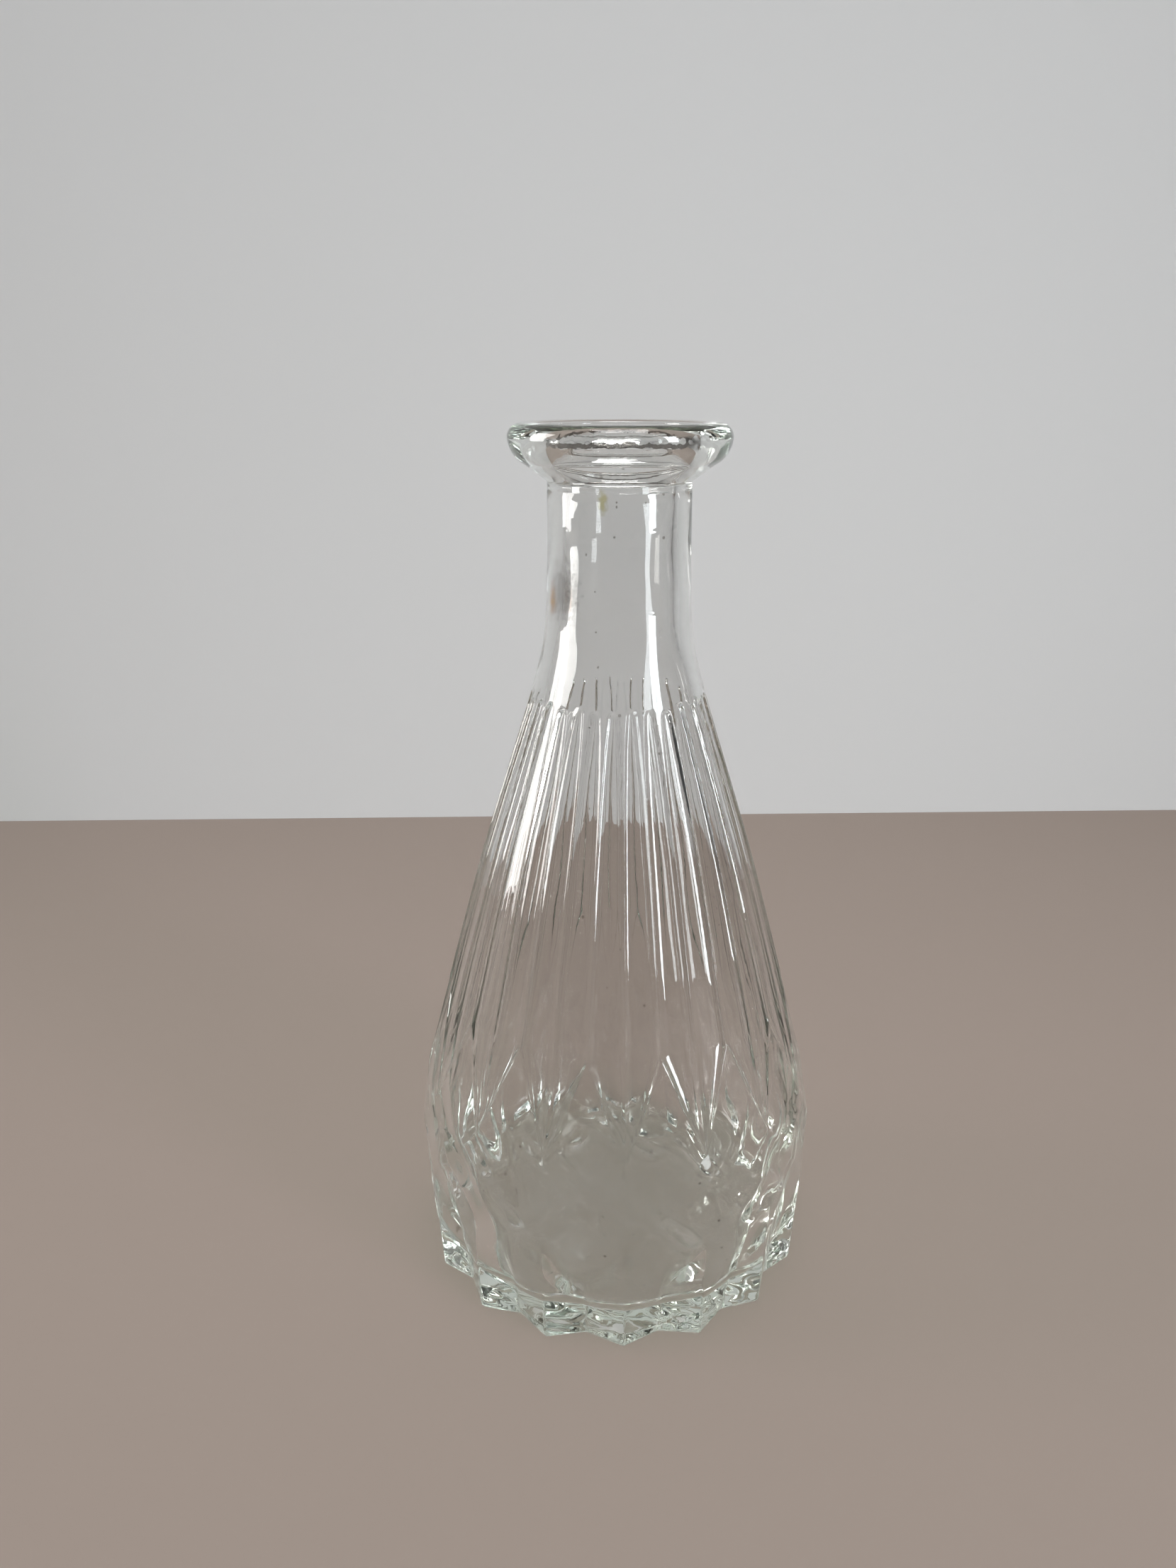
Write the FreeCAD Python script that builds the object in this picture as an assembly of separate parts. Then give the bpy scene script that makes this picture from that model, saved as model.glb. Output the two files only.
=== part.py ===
import FreeCAD, Part
import math
import os

# Pressed clear-glass bud vase: a thick scalloped base, a belt of flat diamond
# facets, a tapering fluted body, a plain shoulder and neck, and a heavy rolled
# lip. The real vase is one piece of glass. It is modelled as the six zones of
# that glass, which meet face to face on level planes and share one smooth cavity.
#
# Frame: origin at the centre of the resting face, +Z up along the vase's axis.
# One ridge of the foot points along -Y. Millimetres.

# ---- driving dimensions -------------------------------------------------------
TOTAL_HEIGHT = 180.0
UNITS = 16                      # foot ridges and tall diamonds round the body
RIBS = 2 * UNITS                # ribs round the body, with a flute between each two

# Outer facets, as radius from the axis and height
FOOT_TIP_RADIUS = 41.7          # ridges of the foot at the bottom
FOOT_VALLEY_RADIUS = 38.2       # hollows between the ridges at the bottom
FOOT_BEVEL = 1.2                # softened bottom edge
RIDGE_TOP = (43.3, 23.0)        # where a foot ridge forks
BELT_POINT = (43.4, 33.0)       # where neighbouring forks meet, between two ridges
WAIST_HEIGHT = 43.5             # side corners of the tall diamonds
DIAMOND_TOP = (36.5, 63.5)      # top corner of the tall diamonds

# Flutes, from the tall diamonds up: height, rib radius, depth of the flute
FLUTE_SECTIONS = (
    (DIAMOND_TOP[1], DIAMOND_TOP[0], 1.2),
    (80.0, 32.1, 1.2),
    (95.0, 27.9, 1.1),
    (110.0, 23.2, 1.0),
    (121.0, 19.7, 0.9),
    (129.0, 17.3, 0.0),
)

# Shoulder and neck outside, as radius and height
SHOULDER_POINTS = ((17.3, 129.0), (14.95, 139.0), (14.3, 148.0), (14.15, 154.0))
NECK_TOP = (14.0, 169.2)

# Lip outside
LIP_RADIUS = 21.5
LIP_WIDEST_HEIGHT = 177.0
LIP_TOP_RADIUS = 19.4           # where the rounded edge meets the crowned top
LIP_CROWN = 0.12                # how far the top's two edges lie below its middle
LIP_UNDERSIDE = (18.3, 172.3)   # where the rounded edge meets the conical underside
LIP_LOWER_BULGE = (20.65, 174.5)    # a point on the round below the widest part
LIP_UPPER_BULGE = (20.9, 179.0)     # and one above it

# Mouth: a recess that flares towards the top, then a cone down to the bore
MOUTH_RADIUS = 14.2             # at the foot of the recess
MOUTH_TOP_RADIUS = 15.4
MOUTH_EDGE_ROUND = 0.8
MOUTH_FLOOR_HEIGHT = 176.8
MOUTH_CONE_BOTTOM_HEIGHT = 171.5

# Cavity
FLOOR_HEIGHT = 6.0              # glass under the cavity
FLOOR_CORNER_RADIUS = 5.0
CAVITY_WALL_POINTS = (          # radius and height, from the floor corner to the bore
    (37.3, 11.0),
    (39.1, 24.0),
    (39.3, 34.0),
    (38.0, 44.0),
    (33.4, 63.5),
    (24.9, 95.0),
    (16.7, 121.0),
    (11.6, 139.0),
    (10.3, 154.0),
)
BORE_RADIUS = 10.1

# Underside and zone plane
PUSH_UP_RADIUS = 33.0           # shallow dome that leaves a resting ring at the rim
PUSH_UP_DEPTH = 1.5
BASE_HEIGHT = 14.0              # plane between the base and the facet belt

HALF_UNIT = math.pi / UNITS
REACH = 2.0 * LIP_RADIUS + FOOT_TIP_RADIUS   # half-width of a block that spans any zone


# ---- helpers ------------------------------------------------------------------
def ring_point(radius, unit, height):
    """Point at a number of units round the axis; unit 0 faces -Y."""
    angle = 2.0 * HALF_UNIT * unit - math.pi / 2.0
    return FreeCAD.Vector(radius * math.cos(angle), radius * math.sin(angle), height)


def profile_point(radius, height):
    """Point of a turned profile, in the XZ plane."""
    return FreeCAD.Vector(radius, 0.0, height)


def edge(start, end):
    return Part.LineSegment(start, end).toShape()


def flat_face(points):
    return Part.Face(Part.makePolygon(list(points) + [points[0]]))


def smooth_edge(points, start_slope=None, end_slope=None):
    """Spline through profile points, with optional end directions."""
    curve = Part.BSplineCurve()
    vectors = [profile_point(*point) for point in points]
    if start_slope and end_slope:
        curve.interpolate(Points=vectors, InitialTangent=start_slope, FinalTangent=end_slope)
    else:
        curve.interpolate(vectors)
    return curve.toShape()


def profile_arc(start, middle, end):
    """Circular arc through three profile points."""
    return Part.Arc(profile_point(*start), profile_point(*middle), profile_point(*end)).toShape()


def turned_solid(edges):
    """Solid of revolution about Z from the edges of a closed profile."""
    face = Part.Face(Part.Wire(edges))
    axis = FreeCAD.Vector(0.0, 0.0, 1.0)
    return face.revolve(FreeCAD.Vector(0.0, 0.0, 0.0), axis, 360.0)


def slab(low, high):
    """Block that holds everything between two heights."""
    corner = FreeCAD.Vector(-REACH, -REACH, low)
    return Part.makeBox(2.0 * REACH, 2.0 * REACH, high - low, corner)


# ---- outer skin ---------------------------------------------------------------
def waist_radius():
    """Radius that puts each low diamond's four corners in one plane."""
    chord = BELT_POINT[0] * math.cos(HALF_UNIT)
    slope = (chord - RIDGE_TOP[0]) / (BELT_POINT[1] - RIDGE_TOP[1])
    return RIDGE_TOP[0] + slope * (WAIST_HEIGHT - RIDGE_TOP[1])


def flute_arc(rib, height, rib_radius, depth):
    """Concave arc from one rib to the next; even ribs stand over the foot ridges."""
    start = 0.5 * rib
    return Part.Arc(
        ring_point(rib_radius, start, height),
        ring_point(rib_radius - depth, start + 0.25, height),
        ring_point(rib_radius, start + 0.5, height),
    ).toShape()


def foot_outline(height, inset):
    """Points of the scalloped outline: ridge and valley in turn."""
    points = []
    for unit in range(UNITS):
        points.append(ring_point(FOOT_TIP_RADIUS - inset, unit, height))
        points.append(ring_point(FOOT_VALLEY_RADIUS - inset, unit + 0.5, height))
    return points


def foot_faces():
    """Bottom face, bevel and the panels between each ridge and its valleys."""
    bottom = foot_outline(0.0, FOOT_BEVEL)
    lower = foot_outline(FOOT_BEVEL, 0.0)
    faces = [flat_face(bottom)]
    for index in range(2 * UNITS):
        following = (index + 1) % (2 * UNITS)
        faces.append(Part.makeRuledSurface(
            edge(bottom[index], bottom[following]), edge(lower[index], lower[following])))
    for unit in range(UNITS):
        ridge = edge(lower[2 * unit], ring_point(RIDGE_TOP[0], unit, RIDGE_TOP[1]))
        for side in (-0.5, 0.5):
            valley_foot = lower[(2 * unit + round(2 * side)) % (2 * UNITS)]
            valley_head = ring_point(BELT_POINT[0], unit + side, BELT_POINT[1])
            faces.append(Part.makeRuledSurface(ridge, edge(valley_foot, valley_head)))
    return faces


def diamond_faces():
    """Low diamonds over the ridges, and tall ones between them in two halves."""
    faces = []
    waist = waist_radius()
    for unit in range(UNITS):
        ridge_top = ring_point(RIDGE_TOP[0], unit, RIDGE_TOP[1])
        left_belt = ring_point(BELT_POINT[0], unit - 0.5, BELT_POINT[1])
        right_belt = ring_point(BELT_POINT[0], unit + 0.5, BELT_POINT[1])
        own_waist = ring_point(waist, unit, WAIST_HEIGHT)
        next_waist = ring_point(waist, unit + 1, WAIST_HEIGHT)
        top = ring_point(DIAMOND_TOP[0], unit + 0.5, DIAMOND_TOP[1])
        faces.append(flat_face([ridge_top, right_belt, own_waist, left_belt]))
        faces.append(flat_face([right_belt, top, own_waist]))
        faces.append(flat_face([right_belt, next_waist, top]))
    return faces


def flute_toe_faces():
    """Conical lower end of each flute, narrowing to the nearest waist corner."""
    faces = []
    for rib in range(RIBS):
        nearest_unit = (rib + 1) // 2
        toe = Part.Vertex(ring_point(waist_radius(), nearest_unit, WAIST_HEIGHT))
        arc = flute_arc(rib, *FLUTE_SECTIONS[0])
        faces.extend(Part.makeLoft([toe, Part.Wire([arc])], False, True).Faces)
    return faces


def faceted_solid():
    """Outer solid of the foot and the facet belt, closed by a level top."""
    arcs = [flute_arc(rib, *FLUTE_SECTIONS[0]) for rib in range(RIBS)]
    faces = foot_faces() + diamond_faces() + flute_toe_faces() + [Part.Face(Part.Wire(arcs))]
    skin = Part.Compound(faces)
    skin.sewShape()
    return Part.Solid(Part.Shell(skin.Faces))


def fluted_solid():
    """Outer solid of the flutes, fading out into the round shoulder."""
    wires = [
        Part.Wire([flute_arc(rib, *section) for rib in range(RIBS)])
        for section in FLUTE_SECTIONS
    ]
    return Part.makeLoft(wires, True, False)


def shoulder_solid():
    bottom = SHOULDER_POINTS[0]
    top = SHOULDER_POINTS[-1]
    flute_lean = FreeCAD.Vector(
        bottom[0] - FLUTE_SECTIONS[-2][1], 0.0, bottom[1] - FLUTE_SECTIONS[-2][0])
    neck_lean = FreeCAD.Vector(NECK_TOP[0] - top[0], 0.0, NECK_TOP[1] - top[1])
    return turned_solid([
        edge(profile_point(0.0, bottom[1]), profile_point(*bottom)),
        smooth_edge(SHOULDER_POINTS, flute_lean, neck_lean),
        edge(profile_point(*top), profile_point(0.0, top[1])),
        edge(profile_point(0.0, top[1]), profile_point(0.0, bottom[1])),
    ])


def neck_solid():
    bottom = SHOULDER_POINTS[-1]
    return turned_solid([
        edge(profile_point(0.0, bottom[1]), profile_point(*bottom)),
        edge(profile_point(*bottom), profile_point(*NECK_TOP)),
        edge(profile_point(*NECK_TOP), profile_point(0.0, NECK_TOP[1])),
        edge(profile_point(0.0, NECK_TOP[1]), profile_point(0.0, bottom[1])),
    ])


def top_edge_height():
    """Height of the two edges of the crowned top."""
    return TOTAL_HEIGHT - LIP_CROWN


def lip_solid():
    """Rolled lip: conical underside, full round edge, slightly crowned top."""
    rim = (LIP_TOP_RADIUS, top_edge_height())
    mouth_edge = (MOUTH_TOP_RADIUS + MOUTH_EDGE_ROUND, top_edge_height())
    crown = ((rim[0] + mouth_edge[0]) / 2.0, TOTAL_HEIGHT)
    return turned_solid([
        edge(profile_point(0.0, NECK_TOP[1]), profile_point(*NECK_TOP)),
        edge(profile_point(*NECK_TOP), profile_point(*LIP_UNDERSIDE)),
        profile_arc(LIP_UNDERSIDE, LIP_LOWER_BULGE, (LIP_RADIUS, LIP_WIDEST_HEIGHT)),
        profile_arc((LIP_RADIUS, LIP_WIDEST_HEIGHT), LIP_UPPER_BULGE, rim),
        profile_arc(rim, crown, mouth_edge),
        edge(profile_point(*mouth_edge), profile_point(0.0, mouth_edge[1])),
        edge(profile_point(0.0, mouth_edge[1]), profile_point(0.0, NECK_TOP[1])),
    ])


# ---- inside and underside -----------------------------------------------------
def mouth_edges():
    """Profile from the bore up through the cone, the flared recess and its rounded edge."""
    cone_bottom = (BORE_RADIUS, MOUTH_CONE_BOTTOM_HEIGHT)
    recess_bottom = (MOUTH_RADIUS, MOUTH_FLOOR_HEIGHT)
    recess_top = (MOUTH_TOP_RADIUS, top_edge_height() - MOUTH_EDGE_ROUND)
    inset = MOUTH_EDGE_ROUND * (1.0 - math.sqrt(0.5))
    round_middle = (MOUTH_TOP_RADIUS + inset, top_edge_height() - inset)
    round_end = (MOUTH_TOP_RADIUS + MOUTH_EDGE_ROUND, top_edge_height())
    return [
        edge(profile_point(*CAVITY_WALL_POINTS[-1]), profile_point(*cone_bottom)),
        edge(profile_point(*cone_bottom), profile_point(*recess_bottom)),
        edge(profile_point(*recess_bottom), profile_point(*recess_top)),
        profile_arc(recess_top, round_middle, round_end),
        edge(profile_point(*round_end), profile_point(0.0, top_edge_height())),
    ]


def cavity_solid():
    """Space inside the vase: floor, rounded corner, wall, bore and mouth."""
    wall_start = CAVITY_WALL_POINTS[0]
    corner_inner = (wall_start[0] - FLOOR_CORNER_RADIUS, FLOOR_HEIGHT)
    diagonal = FLOOR_CORNER_RADIUS * (1.0 - math.sqrt(0.5))
    corner_middle = (wall_start[0] - diagonal, FLOOR_HEIGHT + diagonal)
    floor_and_wall = [
        edge(profile_point(0.0, FLOOR_HEIGHT), profile_point(*corner_inner)),
        profile_arc(corner_inner, corner_middle, wall_start),
        smooth_edge(CAVITY_WALL_POINTS),
    ]
    axis_line = edge(profile_point(0.0, top_edge_height()), profile_point(0.0, FLOOR_HEIGHT))
    return turned_solid(floor_and_wall + mouth_edges() + [axis_line])


def push_up_solid():
    """Ball whose top pokes into the underside as a shallow dome."""
    ball_radius = (PUSH_UP_RADIUS ** 2 + PUSH_UP_DEPTH ** 2) / (2.0 * PUSH_UP_DEPTH)
    centre = FreeCAD.Vector(0.0, 0.0, PUSH_UP_DEPTH - ball_radius)
    return Part.makeSphere(ball_radius, centre)


# ---- zones of the glass -------------------------------------------------------
def make_zones():
    cavity = cavity_solid()
    lower_glass = faceted_solid().cut(cavity)
    return {
        "base": lower_glass.common(slab(0.0, BASE_HEIGHT)).cut(push_up_solid()),
        "facet_belt": lower_glass.common(slab(BASE_HEIGHT, DIAMOND_TOP[1])),
        "fluted_body": fluted_solid().cut(cavity),
        "shoulder": shoulder_solid().cut(cavity),
        "neck": neck_solid().cut(cavity),
        "lip": lip_solid().cut(cavity),
    }


def main():
    os.makedirs("parts", exist_ok=True)
    for name, shape in make_zones().items():
        solids = shape.Solids
        if len(solids) != 1 or not shape.isValid():
            raise RuntimeError(name + " is not one valid solid")
        solids[0].exportStep("parts/" + name + ".step")
        print(name, "volume %.1f cm3" % (solids[0].Volume / 1000.0))


main()
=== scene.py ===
import math

import bmesh
import bpy
import numpy as np
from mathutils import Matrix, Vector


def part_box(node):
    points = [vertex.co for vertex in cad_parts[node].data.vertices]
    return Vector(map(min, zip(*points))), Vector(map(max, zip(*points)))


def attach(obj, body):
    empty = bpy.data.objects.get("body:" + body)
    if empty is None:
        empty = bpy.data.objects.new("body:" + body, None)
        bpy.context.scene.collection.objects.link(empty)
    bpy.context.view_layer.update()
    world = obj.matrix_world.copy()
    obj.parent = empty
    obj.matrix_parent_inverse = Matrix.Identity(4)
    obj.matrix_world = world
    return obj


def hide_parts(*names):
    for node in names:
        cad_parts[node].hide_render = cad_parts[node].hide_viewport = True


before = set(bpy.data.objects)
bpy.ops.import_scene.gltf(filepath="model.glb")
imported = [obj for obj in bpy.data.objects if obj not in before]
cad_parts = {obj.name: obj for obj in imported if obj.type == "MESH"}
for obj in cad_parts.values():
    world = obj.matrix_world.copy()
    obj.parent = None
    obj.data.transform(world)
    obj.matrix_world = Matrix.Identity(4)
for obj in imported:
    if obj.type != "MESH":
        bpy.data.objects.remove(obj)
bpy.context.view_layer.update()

MM = 0.001

# ---- the vase, from the frame -------------------------------------------------
NODES = ("base", "facet_belt", "fluted_body", "shoulder", "neck", "lip")
DIAMOND_TOP_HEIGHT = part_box("facet_belt")[1].z / MM
SHOULDER_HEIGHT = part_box("shoulder")[0].z / MM
NECK_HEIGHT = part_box("neck")[0].z / MM
LIP_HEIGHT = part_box("lip")[0].z / MM
TOTAL_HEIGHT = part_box("lip")[1].z / MM
LIP_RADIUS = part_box("lip")[1].x / MM

# ---- relief of the outside, radius and height ---------------------------------
UNITS = 16
HALF_UNIT = math.pi / UNITS
FOOT_TIP_RADIUS = 41.7
FOOT_VALLEY_RADIUS = 38.2
FOOT_BEVEL = 1.2
RIDGE_TOP = (43.3, 23.0)
BELT_POINT = (43.4, 33.0)
WAIST_HEIGHT = 43.5
DIAMOND_TOP = (36.5, DIAMOND_TOP_HEIGHT)
FLUTE_DEPTH = (0.75, 0.6)           # at the tall diamonds, and under the arches
FLUTE_FLATNESS = 2.4                # 1 for a round hollow, more for a flat one with steep ribs
ARCH_WIDTH = 0.6                    # share of the pitch that the flute takes at its top
ARCH_NARROWING = 8                  # how late the flute narrows towards its arch
ARCH_START_HEIGHT = 126.0
ARCH_LENGTH = 2.0
ARCH_SCATTER = 0.5                  # unevenness of the arches' heights
ARCH_SCATTER_TURN = (2.4, 0.6)      # its step from flute to flute and its start, in radians
EDGE_SOFTNESS = 0.2                 # how far fire polishing rounds the facets' edges
EDGE_TURN = EDGE_SOFTNESS / 40.0    # the same as an angle, 40 mm from the vase's axis
RIB_SOFTNESS = 0.12
TOE_START = 1e-4                    # share of a flute's toe; at 0 it would have no width
BEYOND = 99.0                       # a radius outside the whole vase
NECK_TOP_RADIUS = 14.0
BODY_PROFILE = (
    DIAMOND_TOP, (32.1, 80.0), (27.9, 95.0), (23.2, 110.0), (19.7, 121.0), (17.3, SHOULDER_HEIGHT),
    (14.95, 139.0), (14.3, 148.0), (14.15, NECK_HEIGHT), (NECK_TOP_RADIUS, LIP_HEIGHT),
)
# faint ring left by the neck mould: offset from the neck's radius, distance below the lip
MOULD_RING = ((0.02, 1.75), (-0.07, 1.6), (-0.07, 1.4), (0.02, 1.25), (0.0, 0.6), (0.0, 0.15))

# ---- lip, cavity and underside ------------------------------------------------
LIP_UNDERSIDE = (18.3, 172.3)
LIP_WIDEST_HEIGHT = 177.0
LIP_LOWER_BULGE = (LIP_RADIUS - 0.85, LIP_WIDEST_HEIGHT - 2.5)
LIP_UPPER_BULGE = (LIP_RADIUS - 0.6, TOTAL_HEIGHT - 1.0)
LIP_TOP_FLAT_RADIUS = 19.4
LIP_CROWN = 0.12                    # how far the top's two edges lie below its middle
MOUTH_RADIUS = 14.2
MOUTH_TOP_RADIUS = 15.4             # the mouth flares towards its top edge
MOUTH_EDGE_ROUND = 0.8
SEAT_HEIGHT = 176.8                 # where the straight mouth turns into its cone
CONE_BOTTOM_HEIGHT = 171.5
BORE_RADIUS = 10.1
SCAR_HEIGHTS = (178.0, SEAT_HEIGHT, CONE_BOTTOM_HEIGHT)
SCAR_DEPTH = 0.16                   # ragged edges that the plunger left inside the mouth
SCAR_WIDTH = 0.13
FLOOR_HEIGHT = 6.0
FLOOR_CORNER_RADIUS = 5.0
CAVITY_PROFILE = (
    (37.3, 11.0), (39.1, 24.0), (39.3, 34.0), (38.0, 44.0), (33.4, 63.5),
    (24.9, 95.0), (16.7, 121.0), (11.6, 139.0), (10.3, NECK_HEIGHT),
)
CHILL_TOP_HEIGHT = 60.0             # the inner wall is wavier below this, over a fade
CHILL_FADE = 25.0
CALM_RADIUS = 8.0                   # inside this the floor's unevenness fades out
# waves round the inner wall: size, number round, turn per millimetre of height, start
SLOW_WAVES = (
    (0.10, 2, 0.05, 0.7), (0.07, 3, -0.11, 2.1), (0.05, 5, 0.17, 0.0), (0.03, 7, -0.31, 1.0),
)
CHILL_WAVES = ((0.24, 9, 0.32, 0.0), (0.20, 13, -0.41, 0.5), (0.12, 19, 0.23, 2.0))
PUSH_UP_RADIUS = 33.0
PUSH_UP_DEPTH = 1.5

# ---- columns and rows of the mesh ---------------------------------------------
# columns across half a unit, as shares; closest at the ridge and at the rib
HALF_STOPS = (0.0, 0.025, 0.06, 0.11, 0.18, 0.27, 0.38, 0.5, 0.62, 0.73, 0.82, 0.89, 0.94, 0.975)
EASED = (0.04, 0.1, 0.2, 0.35, 0.5, 0.65, 0.8, 0.9, 0.96, 1.0)  # rows between two creases
BEVEL_ROWS = (0.15, 0.35, 0.6, 0.9, FOOT_BEVEL)
FIRST_FLUTE_ROW = 1.5               # above the diamonds' tops
# first height, end and step; closest over the arches
FLUTE_ROWS = ((68.0, 121.0, 3.0), (122.0, 125.0, 1.0), (125.0, 129.6, 0.2), (130.5, 141.5, 1.5))
NECK_ROWS = (142.0, LIP_HEIGHT - 2.0, 1.5)
INNER_STEP = 2.0
DOME_ROWS = (0.97, 0.9, 0.8, 0.65, 0.45, 0.25, 0.08)
MERGE_DISTANCE = 0.002
ROUNDING = 1e-6                     # keeps a column on a border in its own half unit

# ---- glass --------------------------------------------------------------------
GLASS_IOR = 1.51
GLASS_COLOUR = (0.915, 0.91, 0.905, 1.0)
DEPTH_COLOUR = (0.66, 0.80, 0.66, 1.0)
DEPTH_DENSITY = 8.0
SHADOW_COLOUR = (0.93, 0.95, 0.94, 1.0)
RIPPLE_SCALE = 220.0
RIPPLE_STRENGTH = 0.025
RIPPLE_HEIGHT = 1.0
GRIT_SCALE = 900.0
DARK_LINE_REACH = MOUTH_RADIUS + 0.1    # only the mouth's wall and what lies inside it gets the painted dark lines
# colour of the dark lines painted along the marks inside the mouth
DARK_LINE_COLOUR = (0.06, 0.055, 0.05, 1.0)
DARK_LINE_WIDTH = 0.2                   # half the width of the dark lines painted in the mouth
DARK_LINE_WANDER = 0.6                  # how far such a line strays up and down
DUST_COLOUR = (0.35, 0.33, 0.30, 1.0)
DUST_SCALE = 260.0
DUST_SIZE = 0.08                    # share of a cell that its speck takes
DUST_RARITY = 0.8                   # share of the cells that have no speck
BLOT_EDGE = (1.5, 0.9)              # where a blot starts and where it is full
BLOT_RAGGEDNESS = 1.2
# dried residue on the glass: centre, half sizes, strength and colour
RESIDUE = (
    ((-12.9, -6.0, 147.4), (2.4, 2.4, 4.4), 1.0, (0.50, 0.22, 0.05)),
    ((-11.3, -8.6, 149.5), (5.0, 5.0, 8.0), 0.85, (0.30, 0.28, 0.27)),
    ((-3.8, -13.5, 166.3), (1.2, 1.4, 2.8), 0.9, (0.58, 0.52, 0.16)),
)

# ---- camera, stage and lamps --------------------------------------------------
CAMERA_DISTANCE = 237.8
CAMERA_HEIGHT = 187.1
CAMERA_AZIMUTH = -3.08              # degrees round the vase, from straight in front
CAMERA_PITCH = 18.48                # degrees below level
CAMERA_YAW = 1.467                  # degrees turned left of the vase's axis
CAMERA_LENS = 27.59
SENSOR = 36.0
CAMERA_NEAR = 10.0                  # nothing closer to the camera than this is drawn
FLOOR_GAP = 0.05                    # keeps the floor clear of the foot's flat ring
FLOOR_DEPTH = 277.0                 # from the vase's axis to the wall
STAGE_HALF_WIDTH = 1600.0
STAGE_FRONT = 1500.0
WALL_HEIGHT = 1800.0
FLOOR_COLOUR = (0.27, 0.22, 0.19)
WALL_COLOUR = (0.72, 0.712, 0.705)
STAGE_ROUGHNESS = 0.9
ROOM_LOW_COLOUR = (0.04, 0.04, 0.04, 1.0)
ROOM_HIGH_COLOUR = (0.13, 0.133, 0.136, 1.0)
ROOM_HIGH_AT = 0.9
# name, azimuth, distance, height, size, lamp's power, softbox's radiance and colour
LAMPS = (
    ("window", 50.0, 1200.0, 420.0, (270.0, 800.0), 3.0, 22.0, (0.90, 0.96, 1.0)),
    ("left", -103.0, 1100.0, 460.0, (860.0, 900.0), 4.6, 11.0, (1.0, 0.99, 0.97)),
    ("right", 112.0, 1100.0, 430.0, (350.0, 900.0), 1.5, 9.0, (1.0, 1.0, 0.99)),
    ("overhead", 10.0, 150.0, 1500.0, (700.0, 700.0), 2.4, 8.0, (1.0, 1.0, 1.0)),
)
LAMP_SPREAD = 75.0                  # degrees; leaves the far floor and wall darker
LAMP_TARGET = (0.0, 0.0, 90.0)
SOFTBOX_GAP = 10.0                  # from a lamp to the card in front of it
LIGHT_BOUNCES = 16


# ---- profile curves -----------------------------------------------------------
def smooth_through(points):
    """Monotone cubic through (radius, height) points, as a function of height."""
    radii = np.array([p[0] for p in points], float)
    heights = np.array([p[1] for p in points], float)
    steps = np.diff(heights)
    slopes = np.diff(radii) / steps
    tangents = np.empty_like(radii)
    tangents[0] = slopes[0]
    tangents[-1] = slopes[-1]
    for i in range(1, len(radii) - 1):
        before, after = slopes[i - 1], slopes[i]
        tangents[i] = 0.0 if before * after <= 0 else 2.0 * before * after / (before + after)

    def radius_at(height):
        z = np.clip(height, heights[0], heights[-1])
        i = np.clip(np.searchsorted(heights, z) - 1, 0, len(steps) - 1)
        t = (z - heights[i]) / steps[i]
        t2, t3 = t * t, t * t * t
        return (
            (2 * t3 - 3 * t2 + 1) * radii[i] + (t3 - 2 * t2 + t) * steps[i] * tangents[i]
            + (3 * t2 - 2 * t3) * radii[i + 1] + (t3 - t2) * steps[i] * tangents[i + 1])

    return radius_at


def arc_points(start, middle, end, count):
    """Points of the circular arc through three (radius, height) points, without its start."""
    (ax, ay), (bx, by), (cx, cy) = start, middle, end
    d = 2.0 * (ax * (by - cy) + bx * (cy - ay) + cx * (ay - by))
    a2, b2, c2 = ax * ax + ay * ay, bx * bx + by * by, cx * cx + cy * cy
    ox = (a2 * (by - cy) + b2 * (cy - ay) + c2 * (ay - by)) / d
    oy = (a2 * (cx - bx) + b2 * (ax - cx) + c2 * (bx - ax)) / d
    radius = math.hypot(ax - ox, ay - oy)
    first = math.atan2(ay - oy, ax - ox)
    sweep = (math.atan2(cy - oy, cx - ox) - first + math.pi) % (2 * math.pi) - math.pi
    return [
        (ox + radius * math.cos(first + sweep * i / count),
         oy + radius * math.sin(first + sweep * i / count))
        for i in range(1, count + 1)]


def soft_min(a, b, softness):
    """Smaller of two lengths, with the crease between them rounded."""
    near = np.maximum(softness - np.abs(a - b), 0.0) / softness
    return np.minimum(a, b) - near * near * softness * 0.25


def line_at(height, lower, upper):
    """Radius on the straight line through two (radius, height) points."""
    return lower[0] + (upper[0] - lower[0]) * (height - lower[1]) / (upper[1] - lower[1])


# ---- outer relief -------------------------------------------------------------
# Across half a unit, s runs from 0 on a foot ridge to HALF_UNIT between two ridges.
body_radius = smooth_through(BODY_PROFILE)
cavity_radius = smooth_through(CAVITY_PROFILE)
BELT_CHORD = (BELT_POINT[0] * math.cos(HALF_UNIT), BELT_POINT[1])
WAIST = (line_at(WAIST_HEIGHT, RIDGE_TOP, BELT_CHORD), WAIST_HEIGHT)


def foot_panel(s, z):
    ridge = line_at(z, (FOOT_TIP_RADIUS, 0.0), RIDGE_TOP)
    valley = line_at(z, (FOOT_VALLEY_RADIUS, 0.0), BELT_POINT)
    return ridge * valley * math.sin(HALF_UNIT) / (
        valley * np.sin(HALF_UNIT - s) + ridge * np.sin(s))


def low_diamond(s, z):
    return line_at(z, RIDGE_TOP, BELT_CHORD) / np.cos(s)


def tall_diamond(s, z):
    crest = line_at(z, BELT_POINT, DIAMOND_TOP)
    waist_crest = line_at(WAIST[1], BELT_POINT, DIAMOND_TOP)
    tilt = (waist_crest - WAIST[0] * math.cos(HALF_UNIT)) / (WAIST[0] * math.sin(HALF_UNIT))
    across = HALF_UNIT - s
    return crest / (np.cos(across) + tilt * np.sin(across))


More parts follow.
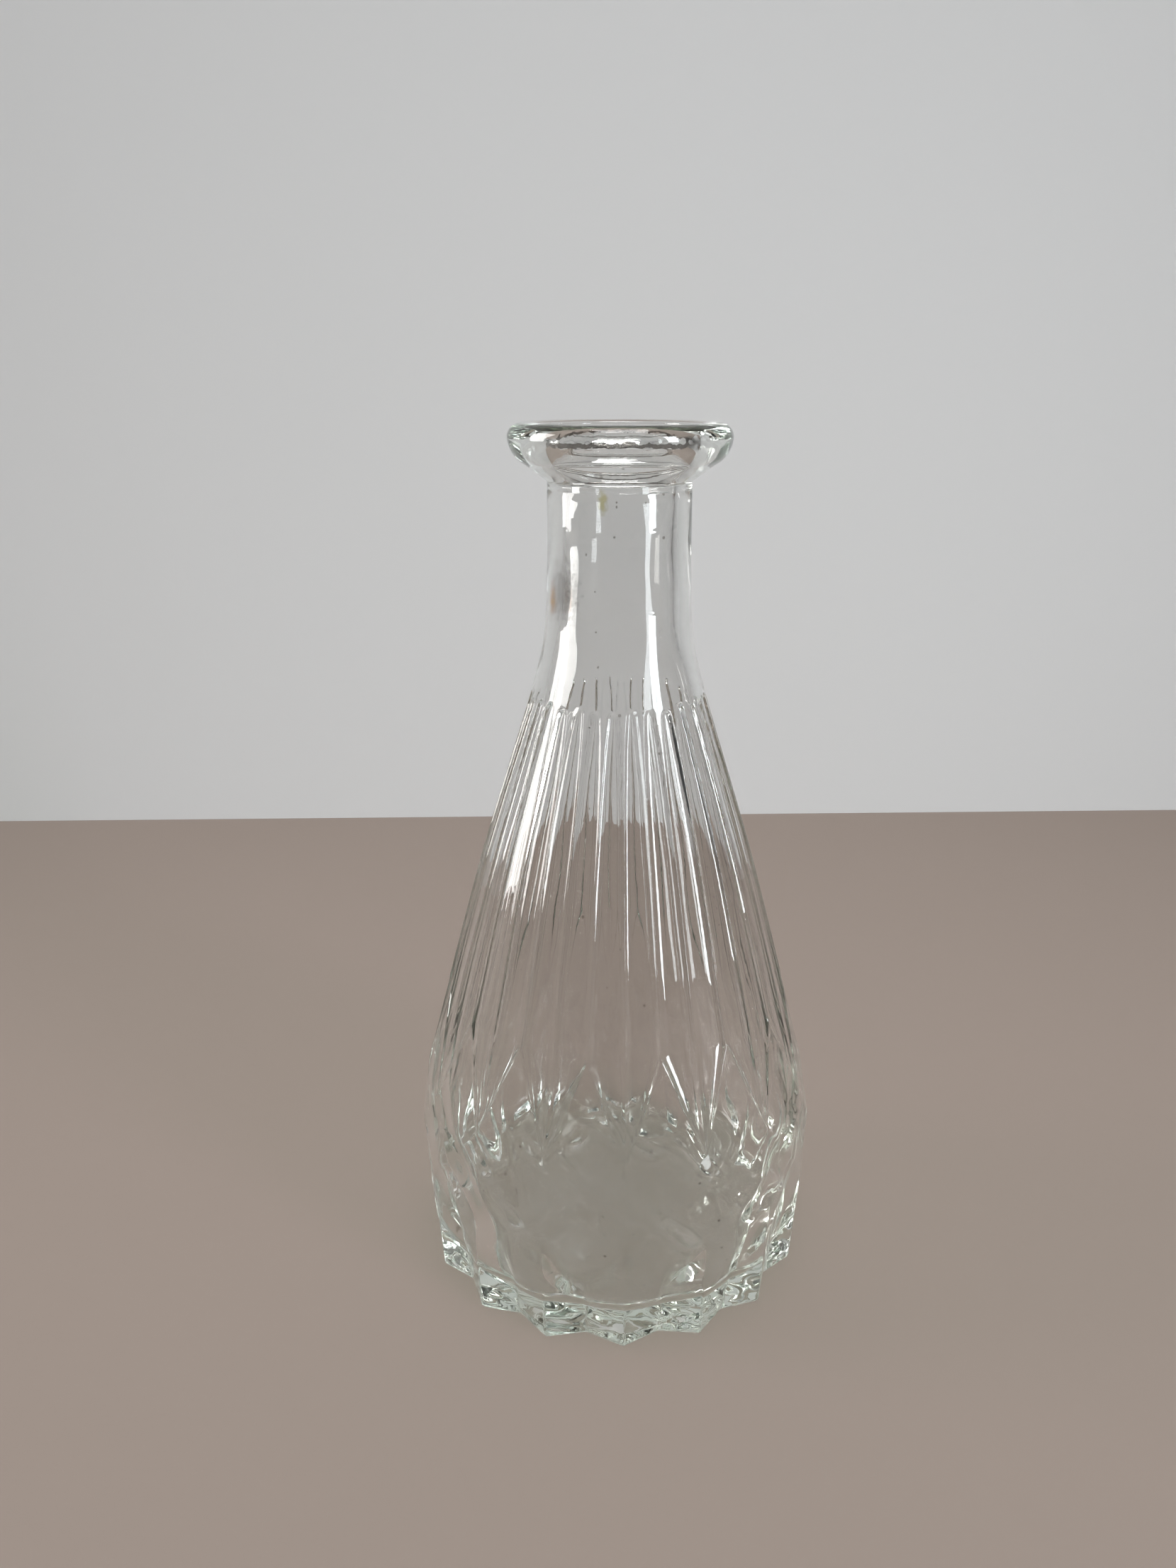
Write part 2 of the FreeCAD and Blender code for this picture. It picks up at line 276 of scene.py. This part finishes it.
def flute_toe(s, z):
    """Cone from the waist corner to the flute's full section at the diamonds' tops."""
    t = np.clip((z - WAIST[1]) / (DIAMOND_TOP[1] - WAIST[1]), TOE_START, 1.0)
    inner = (1 - t) * WAIST[0] + t * DIAMOND_TOP[0]
    edge_x = (1 - t) * WAIST[0] + t * DIAMOND_TOP[0] * math.cos(HALF_UNIT)
    edge_y = t * DIAMOND_TOP[0] * math.sin(HALF_UNIT)
    edge_angle = np.arctan2(edge_y, edge_x)
    edge = np.hypot(edge_x, edge_y)
    chord = inner * edge * np.sin(edge_angle) / (
        edge * np.sin(edge_angle - s) + inner * np.sin(s))
    sag = FLUTE_DEPTH[0] - DIAMOND_TOP[0] * (1 - math.cos(HALF_UNIT / 2))
    off_centre = np.minimum(np.abs(s - edge_angle / 2) / (edge_angle / 2), 2.0)
    hollow = 1.0 - off_centre ** (2 * FLUTE_FLATNESS)
    radius = np.where(s < 1.5 * edge_angle, chord, inner * 1.5) - t * sag * hollow
    return np.where(z > WAIST[1], radius, BEYOND)


def flute(s, z, arch_shift):
    """Full flute with its arched top, cut into the turned body."""
    arch_start = ARCH_START_HEIGHT + arch_shift
    rise = np.clip((z - DIAMOND_TOP[1]) / (arch_start - DIAMOND_TOP[1]), 0.0, 1.0)
    depth = FLUTE_DEPTH[0] + (FLUTE_DEPTH[1] - FLUTE_DEPTH[0]) * rise
    width = 1.0 - (1.0 - ARCH_WIDTH) * rise ** ARCH_NARROWING
    off_centre = np.abs(s - HALF_UNIT / 2) / (HALF_UNIT / 2 * width)
    past_arch = np.maximum(z - arch_start, 0.0) / ARCH_LENGTH
    hollow = 1.0 - (off_centre ** 2 + past_arch ** 2) ** FLUTE_FLATNESS
    body = body_radius(z)
    return soft_min(body, body - depth * hollow, RIB_SOFTNESS)


def outer_radius(s, z, arch_shift=0.0):
    """Radius of the whole outside below the neck: facets, flutes and the foot's bevel."""
    z = np.asarray(z, float)
    eased = np.sqrt(s * s + EDGE_TURN ** 2)
    eased = HALF_UNIT - np.sqrt((HALF_UNIT - eased) ** 2 + EDGE_TURN ** 2)
    faceted = soft_min(foot_panel(eased, z), low_diamond(eased, z), EDGE_SOFTNESS)
    faceted = soft_min(faceted, tall_diamond(eased, z), EDGE_SOFTNESS)
    toes = soft_min(faceted, flute_toe(eased, z), EDGE_SOFTNESS)
    radius = np.where(z < DIAMOND_TOP[1], toes, flute(s, z, arch_shift))
    bevel = np.clip(FOOT_BEVEL - z, 0.0, FOOT_BEVEL)
    return radius - (FOOT_BEVEL - np.sqrt(FOOT_BEVEL ** 2 - bevel ** 2))


# ---- mesh grid ----------------------------------------------------------------
def fine_columns():
    """Angle round the vase and s for each column; columns crowd at ridges and ribs."""
    angles, across = [], []
    for unit in range(UNITS):
        centre = 2 * HALF_UNIT * unit - math.pi / 2
        for stop in HALF_STOPS:
            angles.append(centre + stop * HALF_UNIT)
            across.append(stop * HALF_UNIT)
        for stop in (1.0,) + tuple(reversed(HALF_STOPS[1:])):
            angles.append(centre + (2 - stop) * HALF_UNIT)
            across.append(stop * HALF_UNIT)
    return np.array(angles), np.array(across)


def crease(s, at_ridge, between):
    """Height at s of the straight edge from (radius, height) on a ridge to one between two."""
    sine = np.sin(s) * between[0] * math.cos(HALF_UNIT) - np.sin(s) * at_ridge[0]
    share = at_ridge[0] * np.sin(s) / (between[0] * math.sin(HALF_UNIT) * np.cos(s) - sine)
    return at_ridge[1] + share * (between[1] - at_ridge[1])


def relief_rows(s):
    """Heights of the rows over the relief, laid along its creases."""
    rows = [np.full_like(s, z) for z in BEVEL_ROWS]
    curves = [
        crease(s, RIDGE_TOP, BELT_POINT),
        crease(s, WAIST, BELT_POINT),
        crease(s, WAIST, DIAMOND_TOP),
        np.full_like(s, DIAMOND_TOP[1] + FIRST_FLUTE_ROW),
    ]
    for curve in curves:
        start = rows[-1]
        rows.extend(start + (curve - start) * share for share in EASED)
    for first, end, step in FLUTE_ROWS:
        rows.extend(np.full_like(s, z) for z in np.arange(first, end, step))
    return rows


def lip_rim():
    """Outer edge of the crowned top."""
    return LIP_TOP_FLAT_RADIUS, TOTAL_HEIGHT - LIP_CROWN


def outside_rows():
    """(radius, height) rows up shoulder and neck, over the mould ring and round the lip."""
    rows = [(float(body_radius(z)), z) for z in np.arange(*NECK_ROWS)]
    rows += [(NECK_TOP_RADIUS + offset, LIP_HEIGHT - drop) for offset, drop in MOULD_RING]
    span = LIP_UNDERSIDE[0] - NECK_TOP_RADIUS
    rise = LIP_UNDERSIDE[1] - LIP_HEIGHT
    for share in (0.04, 0.12, 0.4, 0.7, 1.0):
        rows.append((NECK_TOP_RADIUS + span * share, LIP_HEIGHT + rise * share))
    widest = (LIP_RADIUS, LIP_WIDEST_HEIGHT)
    rows += arc_points(LIP_UNDERSIDE, LIP_LOWER_BULGE, widest, 14)
    rows += arc_points(widest, LIP_UPPER_BULGE, lip_rim(), 10)
    return rows


def mouth_rows():
    """(radius, height) rows from the rim over the crowned top and down the mouth's cone."""
    rim = lip_rim()
    edge_height = rim[1]
    inner_edge = (MOUTH_TOP_RADIUS + MOUTH_EDGE_ROUND, edge_height)
    crown = ((rim[0] + inner_edge[0]) / 2, TOTAL_HEIGHT)
    rows = arc_points(rim, crown, inner_edge, 10)
    inset = MOUTH_EDGE_ROUND * (1 - math.sqrt(0.5))
    rows += arc_points(
        inner_edge, (MOUTH_TOP_RADIUS + inset, edge_height - inset),
        (MOUTH_TOP_RADIUS, edge_height - MOUTH_EDGE_ROUND), 6)
    for step in (3, 2, 1, 0, -1, -2, -3):
        rows.append((MOUTH_RADIUS, SCAR_HEIGHTS[0] + SCAR_WIDTH * step))
    for step in (3, 2, 1, 0):
        rows.append((MOUTH_RADIUS, SEAT_HEIGHT + SCAR_WIDTH * step))
    drop = SEAT_HEIGHT - CONE_BOTTOM_HEIGHT
    span = MOUTH_RADIUS - BORE_RADIUS
    first, last = SCAR_WIDTH / drop, 1 - SCAR_WIDTH / drop
    for share in (first, 2 * first, 3 * first, 0.35, 0.65, 3 * last - 2, 2 * last - 1, last):
        rows.append((MOUTH_RADIUS - span * share, SEAT_HEIGHT - drop * share))
    return rows


def bore_rows():
    """(radius, height) rows down the bore; the first ones lie close, over a ragged edge."""
    rows = [(BORE_RADIUS, CONE_BOTTOM_HEIGHT - SCAR_WIDTH * step) for step in (0, 1, 2, 3)]
    rows += [(BORE_RADIUS, z) for z in np.arange(CONE_BOTTOM_HEIGHT - 1.0, NECK_HEIGHT + 1.0, -INNER_STEP)]
    return rows


def floor_corner_rows():
    """(radius, height) rows of the round between the cavity's wall and its floor."""
    wall_end = CAVITY_PROFILE[0]
    diagonal = FLOOR_CORNER_RADIUS * (1 - math.sqrt(0.5))
    middle = (wall_end[0] - diagonal, FLOOR_HEIGHT + diagonal)
    floor_edge = (wall_end[0] - FLOOR_CORNER_RADIUS, FLOOR_HEIGHT)
    return arc_points(wall_end, middle, floor_edge, 10)


def cavity_rows():
    """(radius, height) rows down the cavity's wall and its corner, as far as the floor."""
    wall_end = CAVITY_PROFILE[0]
    heights = np.arange(NECK_HEIGHT - INNER_STEP, wall_end[1], -INNER_STEP)
    rows = [(float(cavity_radius(z)), z) for z in heights]
    return rows + [wall_end] + floor_corner_rows()[:-1]


def floor_rows():
    """(radius, height) rows from the floor's edge towards its middle."""
    edge_radius = CAVITY_PROFILE[0][0] - FLOOR_CORNER_RADIUS
    rows = floor_corner_rows()[-1:]
    rows += [(edge_radius * share, FLOOR_HEIGHT) for share in np.arange(0.95, 0.0, -0.06)]
    return rows


def underside_rows(edge_radius):
    """(radius, height) rows from the resting ring up into the shallow dome."""
    rows = [(edge_radius - 0.5, 0.0), (PUSH_UP_RADIUS + 1.0, 0.0), (PUSH_UP_RADIUS, 0.0)]
    for share in DOME_ROWS:
        rows.append((PUSH_UP_RADIUS * share, PUSH_UP_DEPTH * (1 - share * share)))
    return rows


def waves(table, angle, z):
    return sum(size * np.sin(count * angle + turn * z + start) for size, count, turn, start in table)


def waviness(angle, z):
    """Unevenness of the inner wall, in millimetres, stronger low in the body."""
    share = np.clip((CHILL_TOP_HEIGHT - z) / CHILL_FADE, 0.0, 1.0)
    return waves(SLOW_WAVES, angle, z) + waves(CHILL_WAVES, angle, z) * share


def floor_swirl(radius, angle):
    """Unevenness of the inner floor, in millimetres, fading out at its middle."""
    x, y = radius * np.cos(angle), radius * np.sin(angle)
    swirl = (
        0.36 * np.sin(0.33 * x + 0.9 * np.sin(0.21 * y))
        + 0.32 * np.sin(0.41 * y + 1.1 * np.sin(0.19 * x))
        + 0.16 * np.sin(0.62 * (x + y) + 0.4))
    return swirl * np.minimum(radius / CALM_RADIUS, 1.0)


def scar(angle, z):
    """Ragged edges inside the mouth, in millimetres towards the axis."""
    ragged = (
        0.5 + 0.22 * np.sin(23 * angle + 1.3) * np.sin(41 * angle) + 0.2 * np.sin(67 * angle + 0.4)
        + 0.18 * np.sin(97 * angle + 2.0) * np.sin(13 * angle))
    near = sum(np.exp(-((z - height) / SCAR_WIDTH) ** 2) for height in SCAR_HEIGHTS)
    return SCAR_DEPTH * ragged * near


# ---- mesh ---------------------------------------------------------------------
def ring(vertices, radius, angles, z):
    """Adds one closed row of points and returns their numbers."""
    first = len(vertices)
    radius = np.broadcast_to(radius, angles.shape)
    z = np.broadcast_to(z, angles.shape)
    for r, a, h in zip(radius, angles, z):
        vertices.append((r * math.cos(a) * MM, r * math.sin(a) * MM, h * MM))
    return list(range(first, len(vertices)))


def bridge(faces, lower, upper):
    """Faces between two rows; the upper may have half as many points."""
    count = len(upper)
    if len(lower) == count:
        for i in range(count):
            j = (i + 1) % count
            faces.append((lower[i], lower[j], upper[j], upper[i]))
        return
    for i in range(count):
        j = (i + 1) % count
        a, b, c = lower[2 * i], lower[2 * i + 1], lower[2 * j]
        faces.append((a, b, c, upper[j], upper[i]))


def cap(faces, row, centre):
    """Triangles between a row and the point at its centre."""
    count = len(row)
    for i in range(count):
        faces.append((row[i], row[(i + 1) % count], centre))


def add_relief(vertices, faces, last, angles, across):
    """Outside from the foot over the flutes into the shoulder; gives its last row."""
    flutes = np.floor((angles + math.pi / 2) / HALF_UNIT + ROUNDING)
    arch_shift = ARCH_SCATTER * np.sin(ARCH_SCATTER_TURN[0] * flutes + ARCH_SCATTER_TURN[1])
    for z in relief_rows(across):
        row = ring(vertices, outer_radius(across, z, arch_shift), angles, z)
        bridge(faces, last, row)
        last = row
    return last


def add_turned(vertices, faces, last, angles):
    """Shoulder's end, neck, lip, mouth, bore, cavity and floor; bore and cavity meet in an even row."""
    rows = outside_rows()
    rows += [(radius - scar(angles, z), z) for radius, z in mouth_rows()]
    rows += [(radius + waviness(angles, z) - scar(angles, z), z) for radius, z in bore_rows()]
    rows.append(CAVITY_PROFILE[-1])
    rows += [(radius + waviness(angles, z), z) for radius, z in cavity_rows()]
    rows += [(radius, z + floor_swirl(radius, angles)) for radius, z in floor_rows()]
    for radius, z in rows:
        row = ring(vertices, radius, angles, z)
        bridge(faces, last, row)
        last = row
    vertices.append((0.0, 0.0, FLOOR_HEIGHT * MM))
    cap(faces, last, len(vertices) - 1)


def add_underside(vertices, faces, last, edge_radius, angles):
    """Resting ring and shallow dome, whose faces look down."""
    under = []
    for radius, z in underside_rows(edge_radius):
        row = ring(vertices, radius, angles, z)
        bridge(under, last, row)
        last = row
    vertices.append((0.0, 0.0, PUSH_UP_DEPTH * MM))
    cap(under, last, len(vertices) - 1)
    faces.extend(tuple(reversed(face)) for face in under)


def closed_object(name, vertices, faces):
    """Object of one closed, smooth-shaded mesh."""
    mesh = bpy.data.meshes.new(name)
    mesh.from_pydata(vertices, [], faces)
    mesh.validate()
    shape = bmesh.new()
    shape.from_mesh(mesh)
    bmesh.ops.remove_doubles(shape, verts=shape.verts, dist=MERGE_DISTANCE * MM)
    bmesh.ops.recalc_face_normals(shape, faces=shape.faces)
    shape.to_mesh(mesh)
    shape.free()
    mesh.shade_smooth()
    thing = bpy.data.objects.new(name, mesh)
    bpy.context.scene.collection.objects.link(thing)
    return thing


def make_glass():
    """The whole vase; outside the relief its rows have half as many points."""
    angles, across = fine_columns()
    coarse = angles[::2]
    vertices, faces = [], []
    bottom_radius = outer_radius(across, np.zeros_like(across))
    bottom = ring(vertices, bottom_radius, angles, 0.0)
    last = add_relief(vertices, faces, bottom, angles, across)
    add_turned(vertices, faces, last, coarse)
    add_underside(vertices, faces, bottom, float(bottom_radius.min()), coarse)
    return closed_object("glass_vase", vertices, faces)


# ---- materials ----------------------------------------------------------------
def node_material(name):
    """Material with an empty node tree, with the tree's nodes and links."""
    material = bpy.data.materials.new(name)
    material.use_nodes = True
    material.node_tree.nodes.clear()
    return material, material.node_tree.nodes, material.node_tree.links


def math_node(nodes, links, operation, *values):
    """Math node on sockets or numbers; gives its output."""
    node = nodes.new("ShaderNodeMath")
    node.operation = operation
    for place, value in enumerate(values):
        if isinstance(value, (int, float)):
            node.inputs[place].default_value = value
        else:
            links.new(value, node.inputs[place])
    return node.outputs["Value"]


def blend(nodes, links, factor, first, second):
    """Mixes two colours, each a socket or a constant, by a factor socket."""
    mix = nodes.new("ShaderNodeMix")
    mix.data_type = "RGBA"
    links.new(factor, mix.inputs["Factor"])
    for name, value in (("A", first), ("B", second)):
        if isinstance(value, tuple):
            mix.inputs[name].default_value = value
        else:
            links.new(value, mix.inputs[name])
    return mix.outputs["Result"]


def vector_node(nodes, links, operation, first, second=None):
    """Vector Math node on a socket and, where it takes one, a constant; gives the node."""
    node = nodes.new("ShaderNodeVectorMath")
    node.operation = operation
    links.new(first, node.inputs[0])
    if second is not None:
        node.inputs[1].default_value = second
    return node


def noise(nodes, links, place, scale, detail):
    """Noise texture's value over the object's own coordinates."""
    texture = nodes.new("ShaderNodeTexNoise")
    texture.inputs["Scale"].default_value = scale
    texture.inputs["Detail"].default_value = detail
    links.new(place, texture.inputs["Vector"])
    return texture.outputs["Fac"]


def ripple(nodes, links, place):
    """Normal of the glass's slightly uneven skin."""
    bump = nodes.new("ShaderNodeBump")
    bump.inputs["Strength"].default_value = RIPPLE_STRENGTH
    bump.inputs["Distance"].default_value = RIPPLE_HEIGHT * MM
    links.new(noise(nodes, links, place, RIPPLE_SCALE, 2.0), bump.inputs["Height"])
    return bump.outputs["Normal"]


def painted_dark_lines(nodes, links, place, grit):
    """Mask of thin ragged dark lines painted along the marks inside the mouth."""
    split = nodes.new("ShaderNodeSeparateXYZ")
    links.new(place, split.inputs["Vector"])
    flat = vector_node(nodes, links, "MULTIPLY", place, (1.0, 1.0, 0.0))
    reach = vector_node(nodes, links, "LENGTH", flat.outputs["Vector"])
    within = math_node(nodes, links, "LESS_THAN", reach.outputs["Value"], DARK_LINE_REACH * MM)
    lines = None
    for height in SCAR_HEIGHTS:
        level = -(height + DARK_LINE_WANDER / 2) * MM
        wander = math_node(nodes, links, "MULTIPLY_ADD", grit, DARK_LINE_WANDER * MM, level)
        off = math_node(nodes, links, "ADD", split.outputs["Z"], wander)
        off = math_node(nodes, links, "ABSOLUTE", off)
        line = math_node(nodes, links, "LESS_THAN", off, DARK_LINE_WIDTH * MM)
        lines = line if lines is None else math_node(nodes, links, "MAXIMUM", lines, line)
    return math_node(nodes, links, "MULTIPLY", lines, within)


def blot(nodes, links, place, grit, centre, size, strength):
    """Mask of a dried blot with a ragged edge; centre and half sizes in millimetres."""
    offset = vector_node(nodes, links, "SUBTRACT", place, [c * MM for c in centre])
    scaled = vector_node(nodes, links, "DIVIDE", offset.outputs["Vector"], [half * MM for half in size])
    reach = vector_node(nodes, links, "LENGTH", scaled.outputs["Vector"])
    ragged = math_node(nodes, links, "MULTIPLY_ADD", grit, BLOT_RAGGEDNESS, reach.outputs["Value"])
    fade = nodes.new("ShaderNodeMapRange")
    fade.inputs["From Min"].default_value = BLOT_EDGE[0]
    fade.inputs["From Max"].default_value = BLOT_EDGE[1]
    fade.inputs["To Max"].default_value = strength
    links.new(ragged, fade.inputs["Value"])
    return fade.outputs["Result"]


def specks(nodes, links, place):
    """Mask of fine dust and seeds over the whole surface."""
    dust = nodes.new("ShaderNodeTexVoronoi")
    dust.inputs["Scale"].default_value = DUST_SCALE
    links.new(place, dust.inputs["Vector"])
    small = math_node(nodes, links, "LESS_THAN", dust.outputs["Distance"], DUST_SIZE)
    split = nodes.new("ShaderNodeSeparateColor")
    links.new(dust.outputs["Color"], split.inputs["Color"])
    few = math_node(nodes, links, "GREATER_THAN", split.outputs["Red"], DUST_RARITY)
    return math_node(nodes, links, "MULTIPLY", small, few)


def surface_colour(nodes, links, place):
    """Clear glass with dark lines painted along the marks in the mouth, dried residue and dust."""
    grit = noise(nodes, links, place, GRIT_SCALE, 3.0)
    colour = blend(nodes, links, painted_dark_lines(nodes, links, place, grit), GLASS_COLOUR, DARK_LINE_COLOUR)
    for centre, size, strength, stain in RESIDUE:
        mask = blot(nodes, links, place, grit, centre, size, strength)
        colour = blend(nodes, links, mask, colour, (*stain, 1.0))
    return blend(nodes, links, specks(nodes, links, place), colour, DUST_COLOUR)


def glass_material():
    """Tinted clear glass; lamps light what lies behind it as if it weren't there."""
    material, nodes, links = node_material("pressed_glass")
    place = nodes.new("ShaderNodeTexCoord").outputs["Object"]
    glass = nodes.new("ShaderNodeBsdfPrincipled")
    glass.inputs["Roughness"].default_value = 0.0
    glass.inputs["IOR"].default_value = GLASS_IOR
    glass.inputs["Transmission Weight"].default_value = 1.0
    links.new(ripple(nodes, links, place), glass.inputs["Normal"])
    links.new(surface_colour(nodes, links, place), glass.inputs["Base Color"])
    clear = nodes.new("ShaderNodeBsdfTransparent")
    clear.inputs["Color"].default_value = SHADOW_COLOUR
    rays = nodes.new("ShaderNodeLightPath").outputs
    unseen = math_node(nodes, links, "MAXIMUM", rays["Is Shadow Ray"], rays["Is Diffuse Ray"])
    mix = nodes.new("ShaderNodeMixShader")
    links.new(unseen, mix.inputs["Fac"])
    links.new(glass.outputs["BSDF"], mix.inputs[1])
    links.new(clear.outputs["BSDF"], mix.inputs[2])
    tint = nodes.new("ShaderNodeVolumeAbsorption")
    tint.inputs["Color"].default_value = DEPTH_COLOUR
    tint.inputs["Density"].default_value = DEPTH_DENSITY
    output = nodes.new("ShaderNodeOutputMaterial")
    links.new(mix.outputs["Shader"], output.inputs["Surface"])
    links.new(tint.outputs["Volume"], output.inputs["Volume"])
    return material


def matt_material(name, colour):
    material, nodes, links = node_material(name)
    surface = nodes.new("ShaderNodeBsdfPrincipled")
    surface.inputs["Base Color"].default_value = (*colour, 1.0)
    surface.inputs["Roughness"].default_value = STAGE_ROUGHNESS
    output = nodes.new("ShaderNodeOutputMaterial")
    links.new(surface.outputs["BSDF"], output.inputs["Surface"])
    return material


# ---- stage, lights, camera ----------------------------------------------------
def make_plane(name, corners, material):
    """Four-cornered stage piece, corners in millimetres."""
    mesh = bpy.data.meshes.new(name)
    mesh.from_pydata([tuple(c * MM for c in corner) for corner in corners], [], [(0, 1, 2, 3)])
    mesh.materials.append(material)
    plane = bpy.data.objects.new(name, mesh)
    bpy.context.scene.collection.objects.link(plane)
    return plane


def make_stage():
    """Plain floor and, behind the vase, a plain wall."""
    w = STAGE_HALF_WIDTH
    floor = matt_material("pale_floor", FLOOR_COLOUR)
    wall = matt_material("pale_wall", WALL_COLOUR)
    low = -FLOOR_GAP
    make_plane("floor", [(-w, -STAGE_FRONT, low), (w, -STAGE_FRONT, low), (w, FLOOR_DEPTH, low),
                         (-w, FLOOR_DEPTH, low)], floor)
    make_plane("wall", [(-w, FLOOR_DEPTH, low), (w, FLOOR_DEPTH, low), (w, FLOOR_DEPTH, WALL_HEIGHT),
                        (-w, FLOOR_DEPTH, WALL_HEIGHT)], wall)


def aim(thing, place, target):
    """Puts a lamp or card at a place and turns it to a target."""
    thing.location = [c * MM for c in place]
    direction = np.array(target, float) - np.array(place, float)
    heading = math.atan2(direction[0], direction[1])
    drop = math.atan2(direction[2], math.hypot(direction[0], direction[1]))
    thing.rotation_euler = (math.pi / 2 + drop, 0.0, -heading)


def around(azimuth, distance, height):
    """Place at an azimuth in degrees, 0 in front of the vase and 90 to its right."""
    turn = math.radians(azimuth)
    return distance * math.sin(turn), -distance * math.cos(turn), height


def make_lamp(name, place, size, power, colour):
    """Rectangular lamp that lights the stage and doesn't show in the glass."""
    lamp = bpy.data.lights.new(name, "AREA")
    lamp.spread = math.radians(LAMP_SPREAD)
    lamp.shape = "RECTANGLE"
    lamp.size = size[0] * MM
    lamp.size_y = size[1] * MM
    lamp.energy = power
    lamp.color = colour
    thing = bpy.data.objects.new(name, lamp)
    thing.visible_glossy = False
    thing.visible_transmission = False
    bpy.context.scene.collection.objects.link(thing)
    aim(thing, place, LAMP_TARGET)


def softbox_material(name, colour, radiance):
    """Glow that reflections see, and that straight views through the glass don't."""
    material, nodes, links = node_material(name)
    rays = nodes.new("ShaderNodeLightPath").outputs
    mirrored = math_node(nodes, links, "GREATER_THAN", rays["Glossy Depth"], 0.5)
    glow = nodes.new("ShaderNodeEmission")
    glow.inputs["Color"].default_value = (*colour, 1.0)
    glow.inputs["Strength"].default_value = radiance
    clear = nodes.new("ShaderNodeBsdfTransparent")
    mix = nodes.new("ShaderNodeMixShader")
    links.new(mirrored, mix.inputs["Fac"])
    links.new(clear.outputs["BSDF"], mix.inputs[1])
    links.new(glow.outputs["Emission"], mix.inputs[2])
    output = nodes.new("ShaderNodeOutputMaterial")
    links.new(mix.outputs["Shader"], output.inputs["Surface"])
    return material


def make_softbox(name, place, size, radiance, colour):
    """Glowing card in front of a lamp, which only the glass sees."""
    w, h = size[0] / 2, size[1] / 2
    material = softbox_material(name, colour, radiance)
    card = make_plane(name, [(-w, -h, 0), (w, -h, 0), (w, h, 0), (-w, h, 0)], material)
    aim(card, place, LAMP_TARGET)
    card.visible_camera = False
    card.visible_diffuse = False
    card.visible_shadow = False


def make_lights():
    for name, azimuth, distance, height, size, power, radiance, colour in LAMPS:
        make_lamp(name + "_lamp", around(azimuth, distance, height), size, power, colour)
        card_place = around(azimuth, distance - SOFTBOX_GAP, height)
        make_softbox(name + "_softbox", card_place, size, radiance, colour)


def make_world():
    """Dim room light, paler above than at the level of the floor."""
    world = bpy.data.worlds.new("soft_room")
    world.use_nodes = True
    nodes, links = world.node_tree.nodes, world.node_tree.links
    nodes.clear()
    place = nodes.new("ShaderNodeTexCoord")
    split = nodes.new("ShaderNodeSeparateXYZ")
    ramp = nodes.new("ShaderNodeValToRGB")
    low, high = ramp.color_ramp.elements
    low.position = 0.0
    low.color = ROOM_LOW_COLOUR
    high.position = ROOM_HIGH_AT
    high.color = ROOM_HIGH_COLOUR
    background = nodes.new("ShaderNodeBackground")
    output = nodes.new("ShaderNodeOutputWorld")
    links.new(place.outputs["Generated"], split.inputs["Vector"])
    links.new(split.outputs["Z"], ramp.inputs["Fac"])
    links.new(ramp.outputs["Color"], background.inputs["Color"])
    links.new(background.outputs["Background"], output.inputs["Surface"])
    bpy.context.scene.world = world


def make_camera():
    camera = bpy.data.objects.new("camera", bpy.data.cameras.new("camera"))
    camera.data.lens = CAMERA_LENS
    camera.data.sensor_width = SENSOR
    camera.data.clip_start = CAMERA_NEAR * MM
    turn = math.radians(CAMERA_AZIMUTH)
    camera.location = (
        CAMERA_DISTANCE * math.sin(turn) * MM, -CAMERA_DISTANCE * math.cos(turn) * MM,
        CAMERA_HEIGHT * MM)
    camera.rotation_euler = (
        math.radians(90.0 - CAMERA_PITCH), 0.0, math.radians(CAMERA_YAW + CAMERA_AZIMUTH))
    bpy.context.scene.collection.objects.link(camera)
    bpy.context.scene.camera = camera


# ---- build --------------------------------------------------------------------
vase = make_glass()
vase.data.materials.append(glass_material())
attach(vase, "root")
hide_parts(*NODES)
scene = bpy.context.scene
scene.view_settings.view_transform = "Standard"
scene.cycles.max_bounces = LIGHT_BOUNCES
scene.cycles.transmission_bounces = LIGHT_BOUNCES
scene.cycles.glossy_bounces = LIGHT_BOUNCES
make_stage()
make_lights()
make_world()
make_camera()
